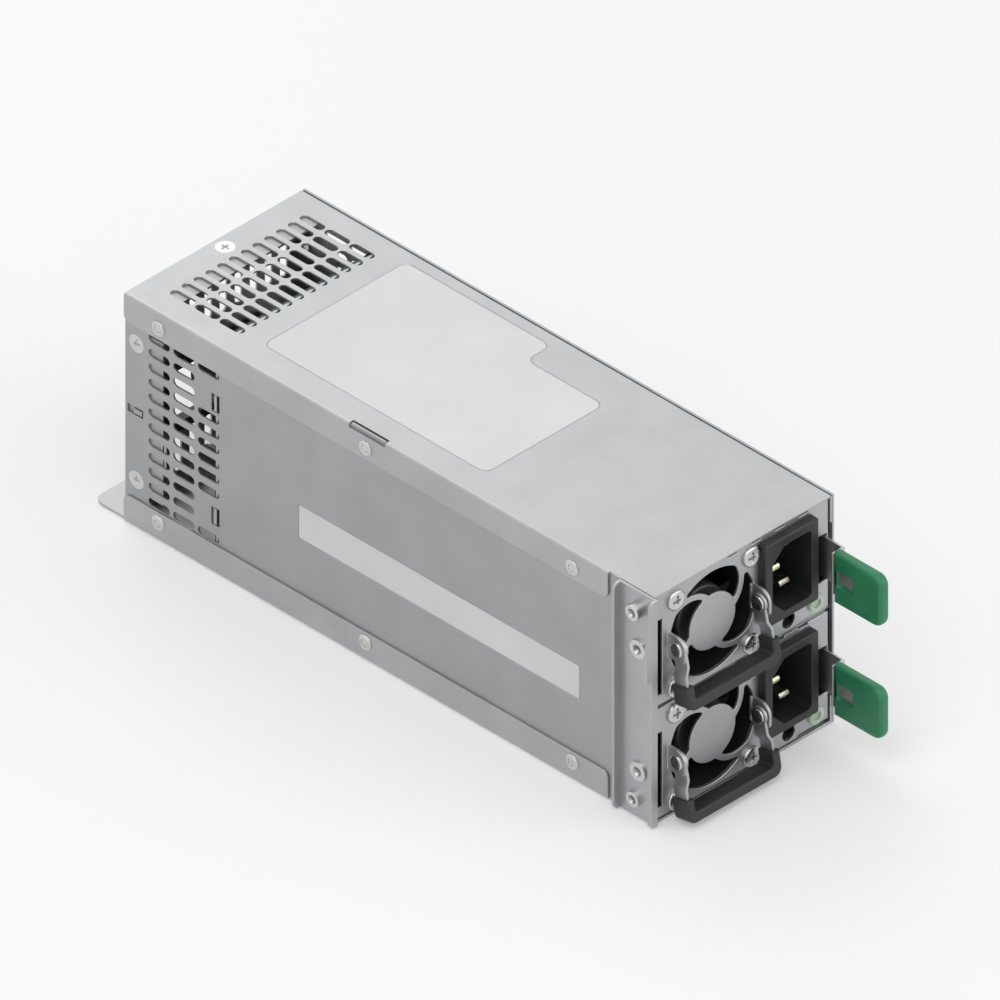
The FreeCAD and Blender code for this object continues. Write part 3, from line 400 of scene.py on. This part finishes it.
shadedWallSheet = sheetMetal("zincPlatedWallShaded", shadedWallFinish)  # painted shade: the cover's zinc made a little darker for the walls and rear panel, so the sides read darker than the top and the seam below the cover's flange shows

bodyOf = {node: body for body, nodes in frame["record"]["behaviour"]["bodies"].items() for node in nodes}
slotOf = {row["node"]: row["material_slot"] for row in frame["record"]["subparts"]}
for node, part in frame["nodes"].items():
    part.data.materials.clear()
    part.data.materials.append(finishes[slotOf[node]])
print("finishes made,", len(finishes) + 2)


# sheet parts and housings: the CAD's own forms with their edges softened

softEdges = {
    "top_cover": 0.12, "bottom_tray": 0.12, "left_wall": 0.10, "right_wall": 0.10, "rear_panel": 0.10,
    "side_bracket": 0.18, "bay_shelf": 0.10, "cable_bushing": 0.30,
    "chassis": 0.10, "lid": 0.10, "face_plate": 0.16, "bail": 0.18, "inlet_housing": 0.14,
    "latch_strip": 0.14, "fan_frame": 0.20,
}
# sheets that take the darker zinc copy, which paints shade on the sides against the top
shadedSheets = ("left_wall", "right_wall", "rear_panel")
sheetSteps = dict(weld=0.002, flat=1.0, sharp=40, smooth=22)


def familyOf(node):  # the name without the module's level
    return node.split("_", 1)[1] if node.startswith(tuple(level + "_" for level in levels)) else node


def softened(node, width):
    source = frame["nodes"][node]
    piece = source.copy()
    piece.data = source.data.copy()
    for key in list(piece.keys()):
        del piece[key]
    piece.parent = None
    piece.matrix_world = Matrix.Identity(4)
    bpy.context.collection.objects.link(piece)
    pickAll(piece)
    bpy.ops.mesh.remove_doubles(threshold=sheetSteps["weld"] * mm)
    bpy.ops.mesh.dissolve_limited(angle_limit=math.radians(sheetSteps["flat"]))
    softenEdges(piece, width, segments=1, angle=sheetSteps["sharp"])
    for axis in range(3):  # a bevel that overshoots a short edge is held inside the sheet's own box
        low = min(vert.co[axis] for vert in source.data.vertices)
        high = max(vert.co[axis] for vert in source.data.vertices)
        for vert in piece.data.vertices:
            vert.co[axis] = min(max(vert.co[axis], low), high)
    # painted shade: the walls and rear panel take the darker copy of the zinc
    material = shadedWallSheet if node in shadedSheets else None
    standFor(node, piece, node + "_sheet", material, angle=sheetSteps["smooth"])


for node in frame["nodes"]:
    if familyOf(node) in softEdges:
        softened(node, softEdges[familyOf(node)])
print("sheet parts softened")


# fasteners, each modelled standing along Z with its seat at height 0

panScrew = dict(
    radius=3.5, height=1.3, crown=0.75, recess=4.7, slot=1.15, depth=1.15, taper=0.6, shank=1.6, length=9.0,
    soft=0.08, pitch=32)
flatScrew = dict(
    radius=3.15, height=0.65, recess=4.0, slot=1.0, depth=0.6, taper=0.6, shank=1.5, length=3.85,
    soft=0.06, fromRear=4.7, offset=25)


def crossRecess(look, top):  # a cutter with two crossed arms that narrow downwards
    arms = []
    size, slot, floor, taper = look["recess"] / 2, look["slot"] / 2, top - look["depth"], look["taper"]
    for half in ((size, slot), (slot, size)):
        arm = addBlock((-half[0], -half[1], floor), (half[0], half[1], top + 1))
        pick(arm, "FACE", facesDown)
        bpy.ops.transform.resize(value=(taper, taper, 1), center_override=(0, 0, floor * mm))
        arms.append(activate(arm))
    return combine(arms[0], arms[1], "UNION")


def makePanScrew(look):
    head = addCylinder(look["radius"], look["height"])
    bevelRim(head, look["height"], look["crown"], segments=5)
    addShank(head, look["radius"] - look["shank"], look["length"])
    combine(head, crossRecess(look, look["height"]))
    softenEdges(head, look["soft"])
    return head


def makeFlatScrew(look):
    head = addCylinder(look["radius"], look["height"], base=(0, 0, -look["height"]))
    pick(head, "FACE", facesDown)
    narrow = look["shank"] / look["radius"]
    bpy.ops.transform.resize(value=(narrow, narrow, 1), center_override=(0, 0, -look["height"] * mm))
    stepFace(head, discBelow, 0, (0, 0, -look["length"]))
    combine(head, crossRecess(look, 0))
    softenEdges(head, look["soft"])
    return head


screw = makePanScrew(panScrew)
half = panScrew["pitch"] / 2
for level, height in levels.items():
    spots = [((fanX + sx * half, faceY, height + sz * half), (0, -1, 0)) for sx in (-1, 1) for sz in (-1, 1)]
    placeSet(level + "_fan_screws", screw, spots, level + "_screw_set")
discard(screw)

screw = makeFlatScrew(flatScrew)
rearY = cage["front"] + cage["length"] - flatScrew["fromRear"]
spots = [((0, rearY, cage["height"]), (0, 0, 1))]
for wall, way in ((cage["leftWall"], -1), (cage["side"], 1)):
    for offset in (-flatScrew["offset"], flatScrew["offset"]):
        spots.append(((wall, rearY, cage["height"] / 2 + offset), (way, 0, 0)))
placeSet("cage_screws", screw, spots, "cage_screw_set")
discard(screw)

popRivet = dict(
    radius=2.75, rim=0.22, shoulder=0.55, steep=0.315, slope=0.35, gentle=0.105, hole=0.95, lip=0.3,
    lipDrop=0.12, sink=0.3, stemGap=0.22, stemRise=0.18, shank=1.1, tail=1.8, soft=0.06, sides=40,
    along=(34.3, 122.1, 210.0), heights=(6.3, 77.7))


def makeRivet(look):  # a blind rivet, with the stub of its stem in the middle
    rivet = addCylinder(look["radius"], look["rim"], sides=look["sides"])
    stepTop(rivet, look["shoulder"], look["steep"])
    stepTop(rivet, look["slope"], look["gentle"])
    stepTop(rivet, look["radius"] - look["shoulder"] - look["slope"] - look["hole"] - look["lip"], 0)
    stepTop(rivet, look["lip"], -look["lipDrop"])
    stepFace(rivet, discAbove, 0, (0, 0, -look["sink"]))
    stepFace(rivet, discAbove, look["stemGap"], (0, 0, look["stemRise"]))
    addShank(rivet, look["radius"] - look["shank"], look["tail"])
    softenEdges(rivet, look["soft"], angle=50)
    return rivet


rivet = makeRivet(popRivet)
spots = [((side * cage["side"], cage["front"] + along, height), (side, 0, 0))
         for side in (-1, 1) for along in popRivet["along"] for height in popRivet["heights"]]
placeSet("cage_rivets", rivet, spots, "cage_rivet_set")
discard(rivet)

pivotShape = dict(
    radius=2.6, head=0.5, crown=0.4, rise=0.12, backCrown=0.32, shank=1.5, reach=2.3,
    half=18.475, centre=-13.175, front=3.6, above=0.65)


def makePivot(look):  # a rivet with a head on both sides of ear and arm
    pivot = addCylinder(look["radius"], look["head"])
    bevelRim(pivot, look["head"], look["crown"], segments=4)
    stepTop(pivot, look["crown"], look["rise"])
    addShank(pivot, look["radius"] - look["shank"], look["reach"])
    pick(pivot, "FACE", discBelow)
    bpy.ops.mesh.extrude_region_move()
    wide = look["radius"] / look["shank"]
    bpy.ops.transform.resize(value=(wide, wide, 1), center_override=(0, 0, 0))
    bpy.ops.mesh.extrude_region_move()
    bpy.ops.transform.translate(value=(0, 0, -look["head"] * mm))
    activate(pivot)
    low = min(vert.co.z for vert in pivot.data.vertices)
    bevelEdges(pivot, lambda edge: middleOf(edge).z < low + tiny, look["backCrown"], segments=3)
    return pivot


pivot = makePivot(pivotShape)
pivotY = faceY - pivotShape["front"]
for level, height in levels.items():
    spots = []
    for side in (-1, 1):
        x = pivotShape["centre"] + side * pivotShape["half"]
        spots.append(((x, pivotY, height + pivotShape["above"]), (side, 0, 0)))
    placeSet(level + "_handle_pivots", pivot, spots, level + "_pivot_pair")
discard(pivot)

collarSets = {  # each place: distance from the cage's front, height, length
    "bracket_standoffs": dict(radius=2.75, hole=1.5, places=((5.3, 77.3, 3.6), (7.2, 6.8, 1.5))),
    "bracket_nuts": dict(radius=3.35, hole=1.65, places=((5.5, 62.5, 1.0), (5.5, 17.6, 1.0))),
}
collarShape = dict(soft=0.3, wall=0.35, seat=1.0, start=-1.5, lead=0.35, pitch=0.22, groove=0.12, past=0.5)


def threadedBore(hole, length, look):  # a rod with ridges, which cuts the thread's grooves
    bore = addCylinder(hole, look["lead"], (0, 0, look["start"]))
    top = look["start"] + look["lead"]
    while top < length + look["past"]:
        for first, last in ((hole, hole + look["groove"]), (hole + look["groove"], hole)):
            pick(bore, "FACE", facesUp)
            bpy.ops.mesh.extrude_region_move()
            bpy.ops.transform.translate(value=(0, 0, look["pitch"] * mm))
            ratio = last / first
            bpy.ops.transform.resize(value=(ratio, ratio, 1), center_override=(0, 0, 0))
            activate(bore)
            top += look["pitch"]
    return bore


def makeCollar(radius, hole, length, look):  # pressed into the bracket
    collar = addCylinder(radius, length)
    bevelRim(collar, length, look["soft"], segments=2)
    addShank(collar, radius - hole - look["wall"], look["seat"])
    return combine(collar, threadedBore(hole, length, look))


for node, look in collarSets.items():
    collars = []
    for along, height, length in look["places"]:
        collar = makeCollar(look["radius"], look["hole"], length, collarShape)
        collar.data.transform(outward((-1, 0, 0), (cage["bracket"], cage["front"] + along, height)))
        collars.append(collar)
    standFor(node, joinAll(collars), node + "_turned")

lightShape = dict(
    radius=3.1, proud=1.0, soft=0.35, hole=1.5, depth=0.8, edge=0.15, stem=1.8, reach=6.0, x=31.0, drop=14.9)


def makeLight(look):  # a ring round a shallow bore, on a stem
    ring = addCylinder(look["radius"], look["proud"])
    bevelRim(ring, look["proud"], look["soft"], segments=4)
    addShank(ring, look["radius"] - look["stem"], look["reach"])
    stepTop(ring, look["radius"] - look["soft"] - look["hole"] - look["edge"], 0)
    stepFace(ring, discAbove, look["edge"], (0, 0, -look["edge"]))
    stepFace(ring, discAbove, 0, (0, 0, look["edge"] - look["depth"]))
    return ring


ring = makeLight(lightShape)
for level, height in levels.items():
    place = outward((0, -1, 0), (lightShape["x"], faceY, height - lightShape["drop"]))
    standFor(level + "_status_light", copyTo(ring, place), level + "_light_ring")
discard(ring)
print("fasteners and lights made")


# fans: a cup with curved, twisted blades

fanShape = dict(
    hub=10.0, hubDepth=20.0, front=4.0, soft=1.1, rim=1.6, dish=0.25, wall=1.5, floor=4.0, setback=1.0,
    blades=7, root=9.3, tip=17.6, spare=0.8, middle=-13.0, sheet=0.9, rootChord=8.0, tipChord=13.0,
    rootPitch=58, tipPitch=32, camber=0.09, rows=8, columns=10, weld=0.01, sides=96, trimLow=-45,
    trimDepth=60)


def makeBlade(look):
    bpy.ops.object.select_all(action="DESELECT")
    length = look["tip"] + look["spare"] - look["root"]
    bpy.ops.mesh.primitive_grid_add(x_subdivisions=look["columns"], y_subdivisions=look["rows"], size=1)
    blade = bpy.context.object
    blade.scale = (mm, length * mm, 1)
    blade.location = (0, (look["root"] + length / 2) * mm, 0)
    applyMoves(blade)
    for row in range(look["rows"] + 1):
        part = row / look["rows"]
        reach = (look["root"] + part * length) * mm
        chord = look["rootChord"] + part * (look["tipChord"] - look["rootChord"])
        pitch = look["rootPitch"] + part * (look["tipPitch"] - look["rootPitch"])

        def onRow(vert):
            return abs(vert.co.y - reach) < tiny

        for column in range(1, look["columns"]):
            along = column / look["columns"] - 0.5
            pick(blade, "VERT", lambda vert: onRow(vert) and abs(vert.co.x - along * mm) < tiny)
            lift = look["camber"] * chord * (1 - 4 * along * along)
            bpy.ops.transform.translate(value=(0, 0, lift * mm))
        pick(blade, "VERT", onRow)
        bpy.ops.transform.resize(value=(chord, 1, 1), center_override=(0, 0, 0))
        bpy.ops.transform.rotate(value=-math.radians(pitch), orient_axis="Y", center_override=(0, 0, 0))
        activate(blade)
    thick = blade.modifiers.new("thick", "SOLIDIFY")
    thick.thickness = look["sheet"] * mm
    thick.offset = 0
    bpy.ops.object.modifier_apply(modifier=thick.name)
    blade.data.transform(shift((0, 0, look["middle"])))
    trim = addCylinder(look["tip"], look["trimDepth"], (0, 0, look["trimLow"]), look["sides"])
    return combine(blade, trim, "INTERSECT")


def makeRotor(look):
    cup = addCylinder(look["hub"], look["hubDepth"], (0, 0, -look["front"] - look["hubDepth"]), look["sides"])
    bevelRim(cup, -look["front"], look["soft"], segments=5)
    stepTop(cup, look["rim"], -look["dish"])
    stepFace(cup, facesDown, look["wall"], (0, 0, 0))
    stepFace(cup, discBelow, 0, (0, 0, look["hubDepth"] - look["floor"]))
    blade = makeBlade(look)
    for i in range(look["blades"]):
        combine(cup, copyTo(blade, Matrix.Rotation(2 * math.pi * i / look["blades"], 4, "Z")), "UNION")
    discard(blade)
    pickAll(cup)
    bpy.ops.mesh.remove_doubles(threshold=look["weld"] * mm)
    bpy.ops.mesh.quads_convert_to_tris(quad_method="BEAUTY", ngon_method="BEAUTY")
    bpy.ops.mesh.dissolve_degenerate(threshold=look["weld"] * mm)
    return activate(cup)


rotor = makeRotor(fanShape)
for level, height in levels.items():
    place = outward((0, -1, 0), (fanX, faceY + fanShape["setback"], height))
    standFor(level + "_fan_rotor", copyTo(rotor, place), level + "_fan_wheel", angle=40)
discard(rotor)
print("fan wheels made")


# bail grips and latch tabs

gripShape = dict(
    half=19.7, front=-3.9, back=2.85, top=-12.15, barTop=-16.7, low=-20.35, leg=3.1, corner=3.0, inner=1.2,
    round=0.85, rear=0.35, flat=0.5, tilt=-10.5, centre=-13.175, rise=0.65, reach=3.6)
tabShape = dict(
    left=30.2, right=34.2, start=-119.9, end=-140.55, low=-10.7, high=7.8, corner=3.6, round=1.55,
    hole=(-124.95, -1.0), holeSize=(6.9, 6.0), holeCorner=1.4, rim=0.45)


def makeGrip(look):  # a bar with two legs that hold the bail's arms
    low, inner, legs = look["low"] * mm, look["barTop"] * mm, (look["half"] - look["leg"]) * mm
    grip = addBlock((-look["half"], look["front"], look["low"]), (look["half"], look["back"], look["barTop"]))
    for side in (-1, 1):
        cutAcross(grip, side * (look["half"] - look["leg"]))
    stepFace(grip, lambda face: facesUp(face) and abs(middleOf(face).x) > legs,
             0, (0, 0, look["top"] - look["barTop"]))

    def outerCorner(edge):
        middle = middleOf(edge)
        return reachOf(edge, 1) > mm and middle.z < low + tiny and abs(middle.x) > (look["half"] - slack) * mm

    def innerCorner(edge):
        middle = middleOf(edge)
        return reachOf(edge, 1) > mm and abs(middle.z - inner) < tiny and abs(abs(middle.x) - legs) < tiny

    bevelEdges(grip, outerCorner, look["corner"], segments=8)
    bevelEdges(grip, innerCorner, look["inner"], segments=5)
    mergeFlat(grip, look["flat"])
    for face, width in ((look["front"], look["round"]), (look["back"], look["rear"])):
        bevelEdges(grip, lambda edge: all(abs(vert.co.y - face * mm) < tiny for vert in edge.verts), width,
                   segments=5)
    return grip


def makeTab(look):  # a flat tab with a finger hole
    tab = addBlock((look["left"], look["end"], look["low"]), (look["right"], look["start"], look["high"]))
    front = look["end"] * mm
    bevelEdges(tab, lambda edge: reachOf(edge, 0) > mm and middleOf(edge).y < front + tiny,
               look["corner"], segments=10)
    bevelEdges(tab, lambda edge: reachOf(edge, 0) < tiny, look["round"], segments=6)
    (holeY, holeZ), (sizeY, sizeZ) = look["hole"], look["holeSize"]
    hole = addBlock((look["left"] - 1, holeY - sizeY / 2, holeZ - sizeZ / 2),
                    (look["right"] + 1, holeY + sizeY / 2, holeZ + sizeZ / 2))
    bevelEdges(hole, lambda edge: reachOf(edge, 0) > mm, look["holeCorner"], segments=6)
    combine(tab, hole)

    def onRim(edge):
        return all(min(abs(vert.co.x - look["left"] * mm), abs(vert.co.x - look["right"] * mm)) < tiny
                   and abs(vert.co.y - holeY * mm) < sizeY / 2 * mm + tiny
                   and abs(vert.co.z - holeZ * mm) < sizeZ / 2 * mm + tiny for vert in edge.verts)

    bevelEdges(tab, onRim, look["rim"], segments=4)
    return tab


grip = makeGrip(gripShape)
tab = makeTab(tabShape)
tilt = Matrix.Rotation(math.radians(gripShape["tilt"]), 4, "X")
for level, height in levels.items():
    place = shift((gripShape["centre"], faceY - gripShape["reach"], height + gripShape["rise"])) @ tilt
    standFor(level + "_handle_grip", copyTo(grip, place), level + "_moulded_grip")
    standFor(level + "_latch_tab", copyTo(tab, shift((0, 0, height))), level + "_moulded_tab")
discard(grip)
discard(tab)
print("grips and tabs made")


# blank labels in the cover's and the wall's recesses

coverLabel = dict(
    left=-28, right=33, front=1.95, back=63.95, step=22.5, reach=33, margin=0.4, base=83.35, thick=0.14,
    corner=3.1, flat=0.5)
wallLabel = dict(
    side=-37.45, front=-80.65, back=39.05, low=29.7, high=42.5, margin=0.4, thick=0.14, corner=0.8)


def makeCoverLabel(look):  # wide at the rear, with its left part running on to the front
    gap, step = look["margin"], look["step"] * mm
    label = addBlock((look["left"] + gap, look["front"] + gap, look["base"]),
                     (look["right"] - gap, look["back"] - gap, look["base"] + look["thick"]))
    cutAcross(label, look["step"] - gap)
    stepFace(label, lambda face: face.normal.y < -0.9 and middleOf(face).x < step, 0, (0, -look["reach"], 0))
    mergeFlat(label, look["flat"])
    bevelEdges(label, lambda edge: edge.verts[0].co.xy == edge.verts[1].co.xy, look["corner"], segments=6)
    return label


def makeWallLabel(look):
    gap = look["margin"]
    label = addBlock((look["side"] - look["thick"], look["front"] + gap, look["low"] + gap),
                     (look["side"], look["back"] - gap, look["high"] - gap))
    bevelEdges(label, lambda edge: reachOf(edge, 0) > look["thick"] / 2 * mm, look["corner"], segments=4)
    return label


finish(makeCoverLabel(coverLabel), "cover_label", "cage", blankLabel)
finish(makeWallLabel(wallLabel), "wall_label", "cage", blankLabel)
print("labels made")


# floor, lamps and camera

floorLook = dict(
    size=8, drop=0.0003, dark=(0.80, 0.80, 0.80), light=(0.82, 0.82, 0.82), cloud=3, rough=0.9, gloss=0.1,
    lift=0.21)
backdrop = dict(lights=0.58, shows=1.0)  # its strength for lighting the object, and where it is seen


def seenDirectly(tree):  # 1 for rays from the camera and for what metal or glass shows, otherwise 0
    path = addNode(tree, "ShaderNodeLightPath")
    seen = path.outputs["Is Camera Ray"]
    for kind in ("Is Glossy Ray", "Is Transmission Ray"):
        either = addNode(tree, "ShaderNodeMath", operation="MAXIMUM")
        tree.links.new(seen, either.inputs[0])
        tree.links.new(path.outputs[kind], either.inputs[1])
        seen = either.outputs[0]
    return seen


def buildFloor(look):
    bpy.ops.object.select_all(action="DESELECT")
    bpy.ops.mesh.primitive_plane_add(size=look["size"], location=(0, 0, -look["drop"]))
    floor = bpy.context.object
    floor.name = "floor"
    material, tree, shader = startMaterial("paleFloor")
    shader.inputs["Roughness"].default_value = look["rough"]
    shader.inputs["Specular IOR Level"].default_value = look["gloss"]
    cloud = noiseField(tree, look["cloud"])
    tree.links.new(shade(tree, cloud, look["dark"], look["light"]), shader.inputs["Base Color"])
    lift = addNode(tree, "ShaderNodeMath", operation="MULTIPLY")
    lift.inputs[1].default_value = look["lift"]
    tree.links.new(seenDirectly(tree), lift.inputs[0])
    shader.inputs["Emission Color"].default_value = (1, 1, 1, 1)
    tree.links.new(lift.outputs[0], shader.inputs["Emission Strength"])
    floor.data.materials.append(material)


def buildBackdrop(look):
    world = bpy.context.scene.world or bpy.data.worlds.new("studio")
    bpy.context.scene.world = world
    world.use_nodes = True
    tree = world.node_tree
    back = tree.nodes["Background"]
    back.inputs["Color"].default_value = (1, 1, 1, 1)
    level = addNode(tree, "ShaderNodeMapRange")
    level.inputs["To Min"].default_value = look["lights"]
    level.inputs["To Max"].default_value = look["shows"]
    tree.links.new(seenDirectly(tree), level.inputs["Value"])
    tree.links.new(level.outputs["Result"], back.inputs["Strength"])


lamps = {
    "key": dict(place=(-0.70, -0.35, 1.30), size=1.2, power=6.0),
    "fill": dict(place=(0.55, -1.15, 0.55), size=0.9, power=3.0),
    "back": dict(place=(0.35, 0.95, 0.95), size=0.9, power=3.0),
}
lampTarget = Vector((0, 0, 0.04))


def buildLamp(name, look):
    data = bpy.data.lights.new(name, "AREA")
    data.size = look["size"]
    data.energy = look["power"]
    lamp = bpy.data.objects.new(name, data)
    bpy.context.collection.objects.link(lamp)
    lamp.location = look["place"]
    lamp.rotation_euler = (lampTarget - lamp.location).to_track_quat("-Z", "Y").to_euler()


camera = dict(  # the drawing is isometric: equal angles to all three axes
    target=(0.00425, -0.00478, 0.0446), way=(-1, -1, 1), azimuth=-45, elevation=35.2644, distance=1.2,
    width=0.30018)


def buildCamera(look):
    data = bpy.data.cameras.new("photoView")
    data.type = "ORTHO"
    data.ortho_scale = look["width"]
    eye = bpy.data.objects.new("photoView", data)
    bpy.context.collection.objects.link(eye)
    eye.location = Vector(look["target"]) + Vector(look["way"]).normalized() * look["distance"]
    eye.rotation_euler = (math.radians(90 - look["elevation"]), 0, math.radians(look["azimuth"]))
    bpy.context.scene.camera = eye


buildFloor(floorLook)
buildBackdrop(backdrop)
for name, look in lamps.items():
    buildLamp(name, look)
buildCamera(camera)
bpy.context.scene.view_settings.view_transform = "Standard"
print("floor, lamps and camera made")
